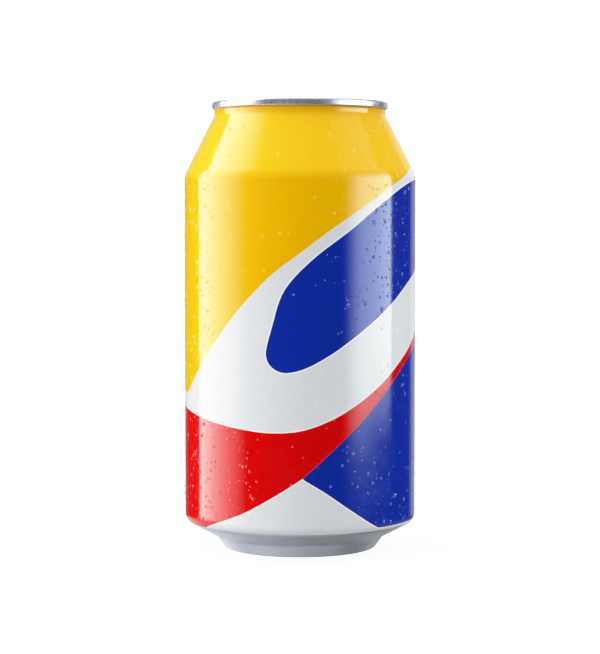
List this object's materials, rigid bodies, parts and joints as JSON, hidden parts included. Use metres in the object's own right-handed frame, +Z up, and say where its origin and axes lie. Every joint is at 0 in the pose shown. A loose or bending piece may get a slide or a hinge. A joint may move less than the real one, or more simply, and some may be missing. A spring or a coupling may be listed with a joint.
{
  "type": "soda can",
  "caption": "Shut cylindrical drinks can with a necked-in top, seamed lid, stay-on pull tab and domed base on a standing ring.",
  "frame": {"origin": "centre of the standing ring, on the plane that the can rests on", "axes": "+Z up along the can's axis, -Y towards the side shown, with the mouth of the lid on the -Y side of the tab"},
  "size_m": [0.0662, 0.0662, 0.1276],
  "materials": {
    "printed_can": "glossy varnished print in yellow, white, blue and red over bare metal base",
    "bare_lid": "satin",
    "bare_tab": "satin"
  },
  "bodies": {
    "root": {"can_body": "printed_can", "lid": "bare_lid", "pull_tab": "bare_tab"}
  },
  "joints": []
}
